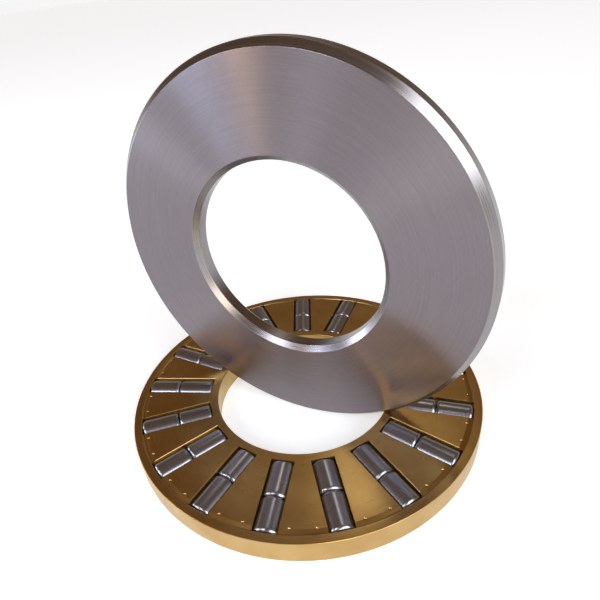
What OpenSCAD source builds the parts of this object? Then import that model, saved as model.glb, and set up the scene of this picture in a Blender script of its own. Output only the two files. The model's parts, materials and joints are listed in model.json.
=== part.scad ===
// Cylindrical roller thrust bearing, laid out as a loose set: a flat cage with two short
// rollers end to end in every pocket, and one washer standing upright in the cage's bore.
// Origin on the cage's axis at the height of the lowest roller lines, +Z up the cage's axis.
// The upright washer's axis lies along Y.

/* [Shaft] */
// Diameter of the shaft that the bearing is made for
shaft_d = 80; // [64:1:120]

/* [Rollers] */
// Diameter of every roller
roller_d = 12; // [9:0.5:15]
// Length of the longer roller in each pocket
long_roller = 16.6; // [12:0.1:24]
// Length of the shorter roller in each pocket
short_roller = 15; // [10:0.1:20]
// Radius of the rounding round each roller end
roller_rounding = 1.4; // [0.5:0.1:2.5]

/* [Cage] */
// Number of pockets round the cage
pocket_count = 17; // [9:1:21]
// Direction of the first pocket from +X, in degrees
first_pocket_angle = 179; // [0:1:359]
// Wall between the cage's bore and the inner end of a pocket
inner_wall = 3.6; // [2:0.1:6]
// Wall between the outer end of a pocket and the rim
outer_wall = 3.7; // [2:0.1:6]
// Height by which the rollers stand out of each face
roller_stand_out = 0.7; // [0.3:0.1:1.2]
// Width by which each lip of a pocket's mouth covers the roller
mouth_lip = 1.1; // [0.5:0.1:2]
// Corner break round the rim and the bore
edge_break = 0.4; // [0.2:0.1:1]

/* [Face groove and stake marks] */
// Radial width of the V-groove in the upper face
groove_w = 2.2; // [1:0.1:3]
// Depth of the V-groove
groove_depth = 0.6; // [0.3:0.1:1.2]
// Distance by which the groove reaches past the outer ends of the pockets
groove_past_pocket = 0.3; // [0:0.1:1]
// Diameter of each stake mark
stake_d = 1.3; // [0.6:0.1:2]
// Depth of each stake mark
stake_depth = 0.35; // [0.2:0.05:0.6]
// Distance of a stake mark from the edge of the pocket's mouth
stake_from_mouth = 3.8; // [2:0.1:5]

/* [Washer] */
// Thickness of the washer
washer_t = 9.5; // [6:0.5:16]
// Chamfer of the washer's outer corners
rim_chamfer = 2.5; // [0.5:0.1:2.8]
// Chamfer of the washer's bore corners
bore_chamfer = 2.2; // [0.5:0.1:2.8]

/* [Clearances] */
// Gap all round between the shaft and the cage's bore
cage_shaft_gap = 0.5; // [0.1:0.1:1]
// Gap all round between the shaft and the washer's bore
washer_shaft_gap = 1; // [0.1:0.1:2]
// Gap round a roller in its pocket
pocket_side_gap = 0.15; // [0.1:0.05:0.4]
// Gap at each end of a roller
roller_end_gap = 0.2; // [0.1:0.05:0.5]
// Gap between the upright washer and the edge that carries it
seat_gap = 0.2; // [0.1:0.05:0.5]

/* [Hidden] */
$fn = 128;
// Amount by which a cut runs past the face that it opens
past = 1;
// Share of the groove's width that its steep outer slope takes
steep_share = 0.25;

// Heights, with every roller standing on the plane z = 0
roller_z = roller_d / 2;
cage_t = roller_d - 2 * roller_stand_out;
cage_z0 = roller_z - cage_t / 2;
cage_z1 = roller_z + cage_t / 2;

// Pockets: two rollers in line with a gap at each end and between them
cage_bore_r = shaft_d / 2 + cage_shaft_gap;
pocket_r0 = cage_bore_r + inner_wall;
pocket_len = long_roller + short_roller + 3 * roller_end_gap;
pocket_r1 = pocket_r0 + pocket_len;
pocket_d = roller_d + 2 * pocket_side_gap;
pocket_pitch = 360 / pocket_count;
mouth_w = roller_d - 2 * mouth_lip;
cage_r = pocket_r1 + outer_wall;

// The groove crosses the webs beside the outer ends of the pockets
groove_r1 = pocket_r1 + groove_past_pocket;
groove_r0 = groove_r1 - groove_w;
steep_w = groove_w * steep_share;

// Stake marks lie just inside the groove, one on each side of a pocket
stake_r = groove_r0 - stake_d / 2;
stake_y = mouth_w / 2 + stake_from_mouth;
stake_ball_r = (stake_d * stake_d / 4 + stake_depth * stake_depth) / (2 * stake_depth);

// The washer and the cage share one outside diameter
washer_r = cage_r;
washer_bore_r = shaft_d / 2 + washer_shaft_gap;

// The upright washer drops into the cage's bore until its rim meets the bore's upper edge,
// or until it stands on the plane z = 0, whichever comes first
rim_half = washer_t / 2 - rim_chamfer;
seat_r = cage_bore_r + edge_break;
seat_rise = sqrt(washer_r * washer_r - seat_r * seat_r + rim_half * rim_half);
washer_z = seat_gap + max(cage_z1 + seat_rise, washer_r);

// Node names: two rollers for each pocket, numbered from the first pocket
function two_digits(i) = str(i < 10 ? "0" : "", i);
function inner_name(i) = str("roller_inner_", two_digits(i));
function outer_name(i) = str("roller_outer_", two_digits(i));

// Odd pockets hold the shorter roller inside and even pockets the longer one
function inner_len(i) = i % 2 == 1 ? short_roller : long_roller;
function outer_len(i) = i % 2 == 1 ? long_roller : short_roller;
function pocket_angle(i) = first_pocket_angle + (i - 1) * pocket_pitch;

// Turns children that point along +X to the direction of one pocket, at the rollers' height
module at_pocket(i) {
    rotate([0, 0, pocket_angle(i)]) translate([0, 0, roller_z]) children();
}

// Plain ring with all four corners cut at 45 degrees
module cage_blank() {
    c = edge_break;
    r0 = cage_bore_r;
    rotate_extrude() polygon([
        [r0 + c, cage_z0], [cage_r - c, cage_z0], [cage_r, cage_z0 + c], [cage_r, cage_z1 - c],
        [cage_r - c, cage_z1], [r0 + c, cage_z1], [r0, cage_z1 - c], [r0, cage_z0 + c]
    ]);
}

// Round bore for the two rollers, opened through both faces by a narrower slot
module pocket() {
    translate([pocket_r0, 0, 0]) {
        rotate([0, 90, 0]) cylinder(d = pocket_d, h = pocket_len);
        translate([0, -mouth_w / 2, -cage_t / 2 - past]) cube([pocket_len, mouth_w, cage_t + 2 * past]);
    }
}

// V-groove with a long inner slope and a steep outer one
module face_groove() {
    run_out = past * steep_w / groove_depth;
    rotate_extrude() polygon([
        [groove_r0, cage_z1], [groove_r1 - steep_w, cage_z1 - groove_depth],
        [groove_r1 + run_out, cage_z1 + past], [groove_r0, cage_z1 + past]
    ]);
}

// Pair of shallow ball-shaped marks, one on each side of a pocket
module stake_marks() {
    ball_z = cage_t / 2 - stake_depth + stake_ball_r;
    for (side = [-1, 1]) translate([stake_r, side * stake_y, ball_z]) sphere(r = stake_ball_r);
}

module cage() {
    color("#9a7836") difference() {
        cage_blank();
        for (i = [1:pocket_count]) at_pocket(i) pocket();
        face_groove();
        for (i = [1:pocket_count]) at_pocket(i) stake_marks();
    }
}

// Roller of one length with its axis along +X and its inner end at x = start
module roller(start, len) {
    flat_r = roller_d / 2 - roller_rounding;
    color("#6f7076") translate([start, 0, 0]) rotate([0, 90, 0]) rotate_extrude() {
        square([flat_r, len]);
        translate([0, roller_rounding]) square([roller_d / 2, len - 2 * roller_rounding]);
        for (y = [roller_rounding, len - roller_rounding])
            translate([flat_r, y]) circle(r = roller_rounding);
    }
}

module inner_roller(i) {
    at_pocket(i) roller(pocket_r0 + roller_end_gap, inner_len(i));
}

module outer_roller(i) {
    at_pocket(i) roller(pocket_r1 - roller_end_gap - outer_len(i), outer_len(i));
}

module washer() {
    half = washer_t / 2;
    bore_half = half - bore_chamfer;
    color("#8a8488") translate([0, 0, washer_z]) rotate([90, 0, 0]) rotate_extrude() polygon([
        [washer_bore_r, -bore_half], [washer_bore_r + bore_chamfer, -half],
        [washer_r - rim_chamfer, -half], [washer_r, -rim_half],
        [washer_r, rim_half], [washer_r - rim_chamfer, half],
        [washer_bore_r + bore_chamfer, half], [washer_bore_r, bore_half]
    ]);
}

cage();
washer();
for (i = [1:pocket_count]) {
    inner_roller(i);
    outer_roller(i);
}
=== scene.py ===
"""Looks of a cylindrical roller thrust bearing, laid out as a loose set.

A machined brass cage lies flat with two polished steel rollers in every pocket, and a ground
steel washer stands upright in its bore. Lengths are in metres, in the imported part's frame.
"""

import json
import math

import bmesh
import bpy
from mathutils import Matrix, Vector


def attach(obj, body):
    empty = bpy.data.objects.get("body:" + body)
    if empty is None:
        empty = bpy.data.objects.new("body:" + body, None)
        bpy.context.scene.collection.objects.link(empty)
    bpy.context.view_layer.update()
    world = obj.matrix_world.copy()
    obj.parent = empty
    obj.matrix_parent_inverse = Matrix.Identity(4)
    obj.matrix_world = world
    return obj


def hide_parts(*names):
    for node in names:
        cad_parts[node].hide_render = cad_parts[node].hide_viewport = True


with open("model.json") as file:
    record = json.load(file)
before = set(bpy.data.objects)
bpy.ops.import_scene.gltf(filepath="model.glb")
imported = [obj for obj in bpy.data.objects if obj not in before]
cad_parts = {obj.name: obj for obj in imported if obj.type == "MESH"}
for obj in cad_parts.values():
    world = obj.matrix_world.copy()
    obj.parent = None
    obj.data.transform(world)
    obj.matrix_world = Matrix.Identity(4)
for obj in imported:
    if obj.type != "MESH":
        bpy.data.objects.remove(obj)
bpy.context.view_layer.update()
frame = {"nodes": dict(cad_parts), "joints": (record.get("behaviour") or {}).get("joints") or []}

MM = 0.001

# Small features of the cage, the same as in the part's own design
SIDE_GAP = 0.15 * MM
END_GAP = 0.2 * MM
MOUTH_LIP = 1.1 * MM
EDGE_BREAK = 0.4 * MM
GROOVE_WIDTH = 2.2 * MM
GROOVE_DEPTH = 0.6 * MM
GROOVE_PAST_POCKET = 0.3 * MM
GROOVE_STEEP_SHARE = 0.25
STAKE_DIAMETER = 1.3 * MM
STAKE_DEPTH = 0.35 * MM
STAKE_FROM_MOUTH = 3.8 * MM

# Corners of the steel pieces
ROLLER_ROUNDING = 1.4 * MM
RIM_CHAMFER = 2.5 * MM
BORE_CHAMFER = 2.2 * MM

# Deburring that softens each machined edge
DEBURR = 0.12 * MM

# How finely round shapes are divided
RING_STEPS = 272
ROLLER_STEPS = 72
MOUTH_ARC_STEPS = 14
ROLLER_ARC_STEPS = 7
DEBURR_SEGMENTS = 3

# Amount by which the pocket cutter runs past the faces that it opens
CUTTER_PAST = 1.0 * MM
# Edges that turn more than this stay crisp
SHARP_ANGLE = math.radians(30)
# Least share of a face's normal along the washer's axis for it to be one of its two flat faces
FLAT_SHARE = 0.98
# Shift of the surface pattern from one roller to the next, in millimetres, so that no two match
ROLLER_PATTERN_STEP = 40
# Radius at which marks round a ring have their true length
MEAN_RING_R = 60 * MM
FLOOR_HALF_WIDTH = 30.0


# ---------------------------------------------------------------- the frame's sizes


def node_points(name):
    """Corner points of a node's mesh."""
    return [v.co for v in frame["nodes"][name].data.vertices]


def joint_of(body):
    """The joint that a body turns on."""
    return next(j for j in frame["joints"] if j["child"] == body)


def reach(name, origin, direction):
    """How far a node reaches from origin along a direction: lowest and highest."""
    along = [(p - origin).dot(direction) for p in node_points(name)]
    return min(along), max(along)


def radii(name, origin, direction):
    """Smallest and largest distance of a node's points from an axis."""
    out = [(p - origin).cross(direction).length for p in node_points(name)]
    return min(out), max(out)


UP = Vector((0, 0, 1))
CENTRE = Vector((0, 0, 0))
CAGE_BOTTOM, CAGE_TOP = reach("cage", CENTRE, UP)
CAGE_BORE_R, CAGE_R = radii("cage", CENTRE, UP)
ROLLER_NODES = sorted(n for n in frame["nodes"] if n.startswith("roller_"))
INNER_NODES = [n for n in ROLLER_NODES if n.startswith("roller_inner_")]
ROLLER_R = radii(ROLLER_NODES[0], Vector(joint_of(ROLLER_NODES[0])["pos_m"]),
                 Vector(joint_of(ROLLER_NODES[0])["axis"]))[1]
# The rollers stand on the plane z = 0
ROLLER_Z = ROLLER_R
WASHER_CENTRE = Vector(joint_of("washer")["pos_m"])
WASHER_AXIS = Vector(joint_of("washer")["axis"])
WASHER_BORE_R, WASHER_R = radii("washer", WASHER_CENTRE, WASHER_AXIS)
WASHER_HALF = reach("washer", WASHER_CENTRE, WASHER_AXIS)[1]


def pocket_axis(inner_node):
    """Direction of a pocket, from the cage's axis outwards."""
    return Vector(joint_of(inner_node)["axis"]).normalized()


FIRST_AXIS = pocket_axis(INNER_NODES[0])
POCKET_R0 = reach(INNER_NODES[0], CENTRE, FIRST_AXIS)[0] - END_GAP
POCKET_R1 = reach(INNER_NODES[0].replace("inner", "outer"), CENTRE, FIRST_AXIS)[1] + END_GAP
MOUTH_HALF = ROLLER_R - MOUTH_LIP


# ---------------------------------------------------------------- mesh helpers


def pocket_place(axis):
    """Matrix that lays +X along a pocket and +Z up, at the rollers' height."""
    side = UP.cross(axis)
    turn = Matrix((axis, side, UP)).transposed().to_4x4()
    return Matrix.Translation((0, 0, ROLLER_Z)) @ turn


def make_object(name, bm):
    """Object with the shape of a bmesh, at the origin."""
    mesh = bpy.data.meshes.new(name)
    bm.to_mesh(mesh)
    bm.free()
    obj = bpy.data.objects.new(name, mesh)
    bpy.context.scene.collection.objects.link(obj)
    return obj


def shade(bm):
    """Smooth faces, with the edges that turning and cutting leave crisp marked sharp."""
    for face in bm.faces:
        face.smooth = True
    for edge in bm.edges:
        edge.smooth = edge.calc_face_angle(0.0) < SHARP_ANGLE


def apply_modifiers(obj):
    """Puts the modifiers' result into the mesh, so that none stays live."""
    shaped = obj.evaluated_get(bpy.context.evaluated_depsgraph_get())
    mesh = bpy.data.meshes.new_from_object(shaped)
    obj.modifiers.clear()
    obj.data = mesh


def finish_piece(obj, node, materials):
    """Gives a piece its finish, and lets it stand for a node on the body of the same name."""
    for material in materials:
        obj.data.materials.append(material)
    weighted = obj.modifiers.new("even_normals", "WEIGHTED_NORMAL")
    weighted.keep_sharp = True
    apply_modifiers(obj)
    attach(obj, node)
    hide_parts(node)


def spin_ring(corners, place):
    """Closed ring from a section: corners are (radius, height, rounding)."""
    bm = bmesh.new()
    verts = [bm.verts.new((r, 0, z)) for r, z, _ in corners]
    bm.faces.new(verts)
    for size in sorted({c[2] for c in corners if c[2] > 0}):
        chosen = [v for v, c in zip(verts, corners) if c[2] == size]
        bmesh.ops.bevel(bm, geom=chosen, offset=size, offset_type="OFFSET", affect="VERTICES",
                        segments=DEBURR_SEGMENTS, profile=0.5, material=-1)
    bmesh.ops.delete(bm, geom=bm.faces[:], context="FACES_ONLY")
    bmesh.ops.spin(bm, geom=bm.verts[:] + bm.edges[:], cent=(0, 0, 0), axis=(0, 0, 1),
                   angle=2 * math.pi, steps=RING_STEPS, use_merge=True)
    bmesh.ops.remove_doubles(bm, verts=bm.verts[:], dist=1e-7)
    bmesh.ops.recalc_face_normals(bm, faces=bm.faces[:])
    bmesh.ops.transform(bm, matrix=place, verts=bm.verts[:])
    return bm


# ---------------------------------------------------------------- the pieces


def cage_ring():
    """The turned blank of the cage, with the V-groove in its upper face."""
    groove_r1 = POCKET_R1 + GROOVE_PAST_POCKET
    groove_r0 = groove_r1 - GROOVE_WIDTH
    bottom_r = groove_r1 - GROOVE_WIDTH * GROOVE_STEEP_SHARE
    corners = [
        (CAGE_BORE_R, CAGE_BOTTOM, EDGE_BREAK),
        (CAGE_R, CAGE_BOTTOM, EDGE_BREAK),
        (CAGE_R, CAGE_TOP, EDGE_BREAK),
        (groove_r1, CAGE_TOP, DEBURR),
        (bottom_r, CAGE_TOP - GROOVE_DEPTH, DEBURR),
        (groove_r0, CAGE_TOP, DEBURR),
        (CAGE_BORE_R, CAGE_TOP, EDGE_BREAK),
    ]
    return make_object("cage_body", spin_ring(corners, Matrix.Identity(4)))


def pocket_section():
    """Section across a pocket: a round bore that opens through a narrower, deburred mouth."""
    bore_r = ROLLER_R + SIDE_GAP
    half = (CAGE_TOP - CAGE_BOTTOM) / 2
    flare = DEBURR + CUTTER_PAST
    meet = math.asin(math.sqrt(bore_r**2 - MOUTH_HALF**2) / bore_r)
    right = [(MOUTH_HALF + flare, half + CUTTER_PAST), (MOUTH_HALF, half - DEBURR)]
    for i in range(MOUTH_ARC_STEPS + 1):
        t = meet - 2 * meet * i / MOUTH_ARC_STEPS
        right.append((bore_r * math.cos(t), bore_r * math.sin(t)))
    right += [(MOUTH_HALF, DEBURR - half), (MOUTH_HALF + flare, -half - CUTTER_PAST)]
    return right + [(-y, z) for y, z in reversed(right)]


def cut_pockets(cage):
    """Cuts the pockets and presses the stake marks beside them."""
    bm = bmesh.new()
    section = pocket_section()
    groove_r0 = POCKET_R1 + GROOVE_PAST_POCKET - GROOVE_WIDTH
    stake_r = STAKE_DIAMETER / 2
    ball_r = (stake_r**2 + STAKE_DEPTH**2) / (2 * STAKE_DEPTH)
    ball_z = CAGE_TOP - ROLLER_Z - STAKE_DEPTH + ball_r
    stake_y = MOUTH_HALF + STAKE_FROM_MOUTH
    for node in INNER_NODES:
        place = pocket_place(pocket_axis(node))
        corners = [bm.verts.new(place @ Vector((POCKET_R0, y, z))) for y, z in section]
        face = bm.faces.new(corners)
        grown = bmesh.ops.extrude_face_region(bm, geom=[face])["geom"]
        outer = [v for v in grown if isinstance(v, bmesh.types.BMVert)]
        bmesh.ops.translate(bm, verts=outer, vec=pocket_axis(node) * (POCKET_R1 - POCKET_R0))
        for side in (-1, 1):
            at = place @ Matrix.Translation((groove_r0 - stake_r, side * stake_y, ball_z))
            bmesh.ops.create_icosphere(bm, subdivisions=3, radius=ball_r, matrix=at)
    bmesh.ops.recalc_face_normals(bm, faces=bm.faces[:])
    cutter = make_object("pocket_cutter", bm)
    cut = cage.modifiers.new("pockets", "BOOLEAN")
    cut.operation = "DIFFERENCE"
    cut.solver = "EXACT"
    cut.object = cutter
    apply_modifiers(cage)
    bpy.data.objects.remove(cutter)


def build_cage(material):
    """Brass ring with its pockets, groove and stake marks."""
    cage = cage_ring()
    cut_pockets(cage)
    bm = bmesh.new()
    bm.from_mesh(cage.data)
    bmesh.ops.remove_doubles(bm, verts=bm.verts[:], dist=1e-6)
    shade(bm)
    bm.to_mesh(cage.data)
    bm.free()
    cage.data.materials.clear()
    finish_piece(cage, "cage", [material])


def build_washer(face_material, edge_material):
    """Flat ring with chamfered corners. The chamfers, rim and bore take the turned finish."""
    corners = []
    for side in (-1, 1):
        flat = side * WASHER_HALF
        edge = side * (WASHER_HALF - RIM_CHAMFER)
        bore = side * (WASHER_HALF - BORE_CHAMFER)
        half = [(WASHER_R, edge, DEBURR), (WASHER_R - RIM_CHAMFER, flat, DEBURR),
                (WASHER_BORE_R + BORE_CHAMFER, flat, DEBURR), (WASHER_BORE_R, bore, DEBURR)]
        corners += half if side > 0 else half[::-1]
    upright = UP.rotation_difference(WASHER_AXIS).to_matrix().to_4x4()
    bm = spin_ring(corners, Matrix.Translation(WASHER_CENTRE) @ upright)
    shade(bm)
    for face in bm.faces:
        face.material_index = 0 if abs(face.normal.dot(WASHER_AXIS)) > FLAT_SHARE else 1
    finish_piece(make_object("washer_body", bm), "washer", [face_material, edge_material])


def roller_profile(length):
    """Half outline of a roller, from the middle of one end to the middle of the other."""
    # Narrow strips beside each rounding keep the flat end and the long side evenly shaded
    support = 0.3 * MM
    flat_r = ROLLER_R - ROLLER_ROUNDING
    half = [(0, 0), (0, flat_r * 0.5), (0, flat_r - support)]
    for i in range(ROLLER_ARC_STEPS + 1):
        t = math.pi / 2 * i / ROLLER_ARC_STEPS
        half.append((ROLLER_ROUNDING * (1 - math.cos(t)), flat_r + ROLLER_ROUNDING * math.sin(t)))
    half.append((ROLLER_ROUNDING + support, ROLLER_R))
    return half + [(length - x, r) for x, r in reversed(half)]


def build_roller(node, number, material):
    """Roller with rounded ends. Its UV map runs round it in U and along it in V, in millimetres."""
    joint = joint_of(node)
    middle, axis = Vector(joint["pos_m"]), Vector(joint["axis"]).normalized()
    low, high = reach(node, middle, axis)
    bm = bmesh.new()
    points = [bm.verts.new((x, 0, r)) for x, r in roller_profile(high - low)]
    edges = [bm.edges.new(pair) for pair in zip(points, points[1:])]
    bmesh.ops.spin(bm, geom=points + edges, cent=(0, 0, 0), axis=(1, 0, 0),
                   angle=2 * math.pi, steps=ROLLER_STEPS, use_merge=True)
    bmesh.ops.remove_doubles(bm, verts=bm.verts[:], dist=1e-7)
    bmesh.ops.recalc_face_normals(bm, faces=bm.faces[:])
    uv = bm.loops.layers.uv.new("round_and_along")
    for face in bm.faces:
        centre = face.calc_center_median()
        middle_turn = math.atan2(centre.y, centre.z)
        for loop in face.loops:
            co = loop.vert.co
            turn = math.atan2(co.y, co.z) if co.yz.length > 1e-6 else middle_turn
            turn += 2 * math.pi * round((middle_turn - turn) / (2 * math.pi))
            along = co.x + ROLLER_R - co.yz.length
            loop[uv].uv = (turn * ROLLER_R / MM, along / MM + ROLLER_PATTERN_STEP * number)
    shade(bm)
    place = pocket_place(axis) @ Matrix.Translation((middle.dot(axis) + low, 0, 0))
    bmesh.ops.transform(bm, matrix=place, verts=bm.verts[:])
    finish_piece(make_object(node + "_body", bm), node, [material])


# ---------------------------------------------------------------- materials


def linear(hex_colour):
    """sRGB hex to the linear colour that shaders use."""
    channels = [int(hex_colour[i:i + 2], 16) / 255 for i in (1, 3, 5)]
    return [c / 12.92 if c <= 0.04045 else ((c + 0.055) / 1.055) ** 2.4 for c in channels] + [1]


def add(tree, kind, links=(), **settings):
    """Adds a node. Settings are its properties, or inputs by name; links are (input, socket)."""
    node = tree.nodes.new(kind)
    for name, value in settings.items():
        if hasattr(node, name):
            setattr(node, name, value)
        else:
            node.inputs[name.replace("_", " ")].default_value = value
    for target, socket in links:
        tree.links.new(socket, node.inputs[target])
    return node


def new_material(name, **settings):
    """Material with uniform values set on the shader's own sockets. It is a metal unless they differ."""
    material = bpy.data.materials.new(name)
    material.use_nodes = True
    tree = material.node_tree
    shader = tree.nodes["Principled BSDF"]
    shader.inputs["Metallic"].default_value = 1.0
    for socket, value in settings.items():
        shader.inputs[socket.replace("_", " ")].default_value = value
    return material, tree, shader


def ring_coordinates(tree, centre, turn):
    """Millimetres out from an axis, round it and along it, for marks that a lathe leaves."""
    place = add(tree, "ShaderNodeMapping", vector_type="TEXTURE", Location=centre, Rotation=turn)
    coords = add(tree, "ShaderNodeTexCoord")
    tree.links.new(coords.outputs["Object"], place.inputs["Vector"])
    split = add(tree, "ShaderNodeSeparateXYZ", [("Vector", place.outputs[0])])
    flat = add(tree, "ShaderNodeCombineXYZ", [("X", split.outputs["X"]), ("Y", split.outputs["Y"])])
    out = add(tree, "ShaderNodeVectorMath", [(0, flat.outputs[0])], operation="LENGTH")
    turned = add(tree, "ShaderNodeMath", [(0, split.outputs["Y"]), (1, split.outputs["X"])],
                 operation="ARCTAN2")
    arc = add(tree, "ShaderNodeMath", [(0, turned.outputs[0])], operation="MULTIPLY")
    arc.inputs[1].default_value = MEAN_RING_R
    joined = add(tree, "ShaderNodeCombineXYZ",
                 [("X", out.outputs["Value"]), ("Y", arc.outputs[0]), ("Z", split.outputs["Z"])])
    scaled = add(tree, "ShaderNodeVectorMath", [(0, joined.outputs[0])], operation="SCALE")
    scaled.inputs["Scale"].default_value = 1 / MM
    return scaled.outputs[0]


def streaks(tree, coordinates, spacing):
    """Noise stretched to a spacing in millimetres along each of the three coordinates."""
    stretched = add(tree, "ShaderNodeMapping", [("Vector", coordinates)], Scale=[1 / s for s in spacing])
    return add(tree, "ShaderNodeTexNoise", [("Vector", stretched.outputs[0])], Scale=1.0, Detail=3.0,
               Roughness=0.55).outputs["Fac"]


def spread(tree, value, low, high, from_low=0.3, from_high=0.7):
    """Stretches a value's range to run from low to high, and holds it there."""
    return add(tree, "ShaderNodeMapRange", [("Value", value)], From_Min=from_low, From_Max=from_high,
               To_Min=low, To_Max=high).outputs["Result"]


def blend_colours(tree, value, first, second):
    """First colour where the value is 0, second where it is 1."""
    mixed = add(tree, "ShaderNodeMix", [("Factor", value)], data_type="RGBA")
    mixed.inputs[6].default_value = linear(first)
    mixed.inputs[7].default_value = linear(second)
    return mixed.outputs[2]


def bump(tree, shader, height, distance):
    """Fine relief of a given depth, in metres."""
    node = add(tree, "ShaderNodeBump", [("Height", height)], Strength=1.0, Distance=distance)
    tree.links.new(node.outputs[0], shader.inputs["Normal"])


def mean_value(tree, first, second):
    """Mean of two values."""
    both = add(tree, "ShaderNodeMath", [(0, first), (1, second)], operation="ADD")
    half = add(tree, "ShaderNodeMath", [(0, both.outputs[0])], operation="MULTIPLY")
    half.inputs[1].default_value = 0.5
    return half.outputs[0]


def scratches(tree, degrees):
    """Straight scratches across the washer's face, 0.3 mm apart and about 12 mm long."""
    coords = add(tree, "ShaderNodeTexCoord").outputs["Object"]
    turned = add(tree, "ShaderNodeMapping", [("Vector", coords)], Rotation=(0, math.radians(degrees), 0),
                 Scale=(1 / MM, 1 / MM, 1 / MM))
    return streaks(tree, turned.outputs[0], (12, 12, 0.3))


def turned_brass():
    """Machined brass, turned on a lathe and gone slightly dull: satin gold with faint darker patches."""
    material, tree, shader = new_material("turned_brass", Anisotropic=0.4, Anisotropic_Rotation=0.25)
    rings = ring_coordinates(tree, (0, 0, 0), (0, 0, 0))
    coords = add(tree, "ShaderNodeTexCoord").outputs["Object"]
    patch_width = 14 * MM
    patches = add(tree, "ShaderNodeTexNoise", [("Vector", coords)], Scale=1 / patch_width, Detail=4.0)
    # Lathe marks are nearer 0.1 mm apart, which is too fine to show: these are 0.35 mm apart
    marks = streaks(tree, rings, (0.35, 12, 0.35))
    colour = blend_colours(tree, spread(tree, patches.outputs["Fac"], 0, 1), "#b79458", "#c6a66b")
    tree.links.new(colour, shader.inputs["Base Color"])
    tree.links.new(spread(tree, marks, 0.27, 0.33), shader.inputs["Roughness"])
    bump(tree, shader, marks, 0.002 * MM)
    tangent = add(tree, "ShaderNodeTangent", direction_type="RADIAL", axis="Z")
    tree.links.new(tangent.outputs[0], shader.inputs["Tangent"])
    return material


def ground_steel():
    """Washer faces, ground in circles: satin grey that spreads each light into a radial fan."""
    material, tree, shader = new_material("ground_steel", Anisotropic=0.95, Anisotropic_Rotation=0.25)
    rings = ring_coordinates(tree, WASHER_CENTRE, (math.pi / 2, 0, 0))
    # Grinding marks are a few hundredths of a millimetre apart, too fine to show: these are 0.45 mm apart
    marks = streaks(tree, rings, (0.45, 20, 3))
    # Faint handling scratches cross the grinding marks at steep angles
    scratched = mean_value(tree, scratches(tree, 62), scratches(tree, -48))
    fine = mean_value(tree, marks, scratched)
    colour = blend_colours(tree, spread(tree, fine, 0, 1, 0.4, 0.6), "#7d777b", "#857e82")
    tree.links.new(colour, shader.inputs["Base Color"])
    tree.links.new(spread(tree, scratched, 0.28, 0.31, 0.4, 0.6), shader.inputs["Roughness"])
    bump(tree, shader, marks, 0.001 * MM)
    tangent = add(tree, "ShaderNodeTangent", direction_type="RADIAL", axis="Y")
    tree.links.new(tangent.outputs[0], shader.inputs["Tangent"])
    return material


def turned_steel():
    """Washer chamfers, rim and bore, hard turned: paler than the ground faces, without their fans."""
    material, tree, shader = new_material("turned_steel")
    rings = ring_coordinates(tree, WASHER_CENTRE, (math.pi / 2, 0, 0))
    # Marks of the turning tool are nearer 0.1 mm apart, too fine to show: these are 0.4 mm apart
    marks = streaks(tree, rings, (0.4, 30, 0.4))
    colour = blend_colours(tree, spread(tree, marks, 0, 1), "#8e8a8b", "#9b9798")
    tree.links.new(colour, shader.inputs["Base Color"])
    tree.links.new(spread(tree, marks, 0.25, 0.31), shader.inputs["Roughness"])
    return material


def polished_steel():
    """Rollers, ground and polished: cool grey with a soft bright line along each one."""
    material, tree, shader = new_material("polished_steel", Anisotropic=0.5, Anisotropic_Rotation=0.25)
    along = add(tree, "ShaderNodeUVMap", uv_map="round_and_along").outputs[0]
    # Polishing marks run round the roller and are too fine to show: these are 0.3 mm apart
    marks = streaks(tree, along, (12, 0.3, 1))
    colour = blend_colours(tree, spread(tree, marks, 0, 1), "#9ea2ac", "#a9adb7")
    tree.links.new(colour, shader.inputs["Base Color"])
    tree.links.new(spread(tree, marks, 0.27, 0.31), shader.inputs["Roughness"])
    bump(tree, shader, marks, 0.001 * MM)
    tangent = add(tree, "ShaderNodeTangent", direction_type="UV_MAP", uv_map="round_and_along")
    tree.links.new(tangent.outputs[0], shader.inputs["Tangent"])
    return material


# ---------------------------------------------------------------- studio


def build_floor():
    """Matt white table that glows slightly, so that shadows on it stay faint."""
    bm = bmesh.new()
    bmesh.ops.create_grid(bm, x_segments=1, y_segments=1, size=FLOOR_HALF_WIDTH)
    floor = make_object("floor", bm)
    table = new_material("white_table", Metallic=0.0, Base_Color=linear("#e2e9ee"), Roughness=0.9,
                         Specular_IOR_Level=0.2, Emission_Color=linear("#ffffff"), Emission_Strength=0.52)
    floor.data.materials.append(table[0])


def build_world():
    """Pale backdrop for the eye. The metal mirrors pale low walls under a dim warm room."""
    world = bpy.data.worlds.new("studio")
    bpy.context.scene.world = world
    world.use_nodes = True
    tree = world.node_tree
    tree.nodes.clear()
    direction = add(tree, "ShaderNodeTexCoord").outputs["Generated"]
    height = add(tree, "ShaderNodeSeparateXYZ", [("Vector", direction)]).outputs["Z"]
    room = blend_colours(tree, spread(tree, height, 0, 1, 0.10, 0.26), "#d6d2ce", "#735a43")
    surroundings = add(tree, "ShaderNodeBackground", [("Color", room)], Strength=1.0)
    backdrop = add(tree, "ShaderNodeBackground", Color=linear("#f6f6f6"), Strength=1.0)
    path = add(tree, "ShaderNodeLightPath")
    mixed = add(tree, "ShaderNodeMixShader",
                [(0, path.outputs["Is Camera Ray"]), (1, surroundings.outputs[0]),
                 (2, backdrop.outputs[0])])
    add(tree, "ShaderNodeOutputWorld", [("Surface", mixed.outputs[0])])


def place_light(name, light, direction, distance, colour):
    """Puts a light in a direction from the origin, facing it."""
    light.color = linear(colour)[:3]
    lamp = bpy.data.objects.new(name, light)
    aim = Vector(direction).normalized()
    lamp.location = aim * distance
    lamp.rotation_euler = aim.to_track_quat("Z", "Y").to_euler()
    lamp.visible_camera = False
    bpy.context.scene.collection.objects.link(lamp)


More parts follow.
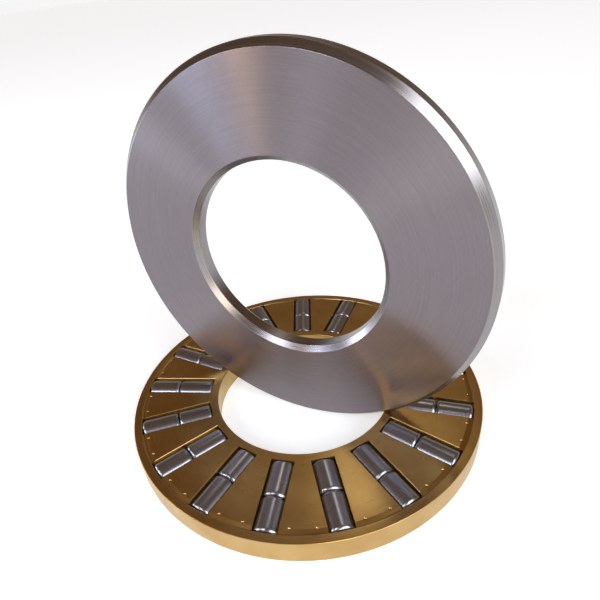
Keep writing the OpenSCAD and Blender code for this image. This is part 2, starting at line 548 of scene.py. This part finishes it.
def add_softbox(name, direction, distance, size, power, colour):
    """Flat soft lamp of a given width and height in metres, and power in watts."""
    light = bpy.data.lights.new(name, "AREA")
    light.shape = "RECTANGLE"
    light.size, light.size_y = size
    light.energy = power
    place_light(name, light, direction, distance, colour)


def add_window(name, direction, width_degrees, strength, colour):
    """Distant soft light that falls evenly over the whole floor."""
    light = bpy.data.lights.new(name, "SUN")
    light.angle = math.radians(width_degrees)
    light.energy = strength
    place_light(name, light, direction, 2.0, colour)


def build_lights():
    """One wide window, and softboxes that give the metal its fans of light and its highlights."""
    add_window("right_window", (0.78, -0.29, 0.56), 40, 2.0, "#f4f8ff")
    add_softbox("left_softbox", (-0.96, -0.22, 0.08), 3.0, (0.9, 0.5), 15, "#e2eaff")
    add_softbox("front_left_softbox", (-0.70, -0.60, 0.39), 1.4, (0.14, 0.6), 4.4, "#cfdfff")
    add_softbox("front_softbox", (-0.54, -0.73, 0.41), 1.4, (0.12, 0.5), 2.3, "#ffd8ac")
    add_softbox("front_right_softbox", (0.57, -0.75, 0.30), 1.4, (0.4, 0.5), 3.6, "#fff0dc")
    add_softbox("front_high_softbox", (-0.17, -0.69, 0.70), 1.5, (0.4, 0.4), 4.4, "#ecf1ff")
    add_softbox("back_softbox", (-0.14, 0.54, 0.83), 1.5, (0.3, 0.35), 0.75, "#fff8ec")


def build_camera():
    """Three-quarter view from above and to the right of the washer's front."""
    azimuth, elevation, roll = math.radians(32.23), math.radians(33.22), math.radians(-7.83)
    back = Vector((math.sin(azimuth) * math.cos(elevation), -math.cos(azimuth) * math.cos(elevation),
                   math.sin(elevation)))
    camera = bpy.data.cameras.new("camera")
    camera.lens = 30.41
    camera.sensor_width = 36.0
    camera.shift_x, camera.shift_y = 0.0418, 0.0111
    camera.clip_start, camera.clip_end = 0.01, 20.0
    holder = bpy.data.objects.new("camera", camera)
    facing = (-back).to_track_quat("-Z", "Y").to_matrix().to_4x4()
    place = Matrix.Translation((0.08964, -0.15694, 0.17643))
    holder.matrix_world = place @ facing @ Matrix.Rotation(roll, 4, "Z")
    bpy.context.scene.collection.objects.link(holder)
    bpy.context.scene.camera = holder


# ---------------------------------------------------------------- everything together

build_camera()
build_floor()
build_world()
build_lights()
bpy.context.scene.view_settings.view_transform = "Standard"

build_cage(turned_brass())
build_washer(ground_steel(), turned_steel())
roller_steel = polished_steel()
for roller_number, roller_node in enumerate(ROLLER_NODES):
    build_roller(roller_node, roller_number, roller_steel)
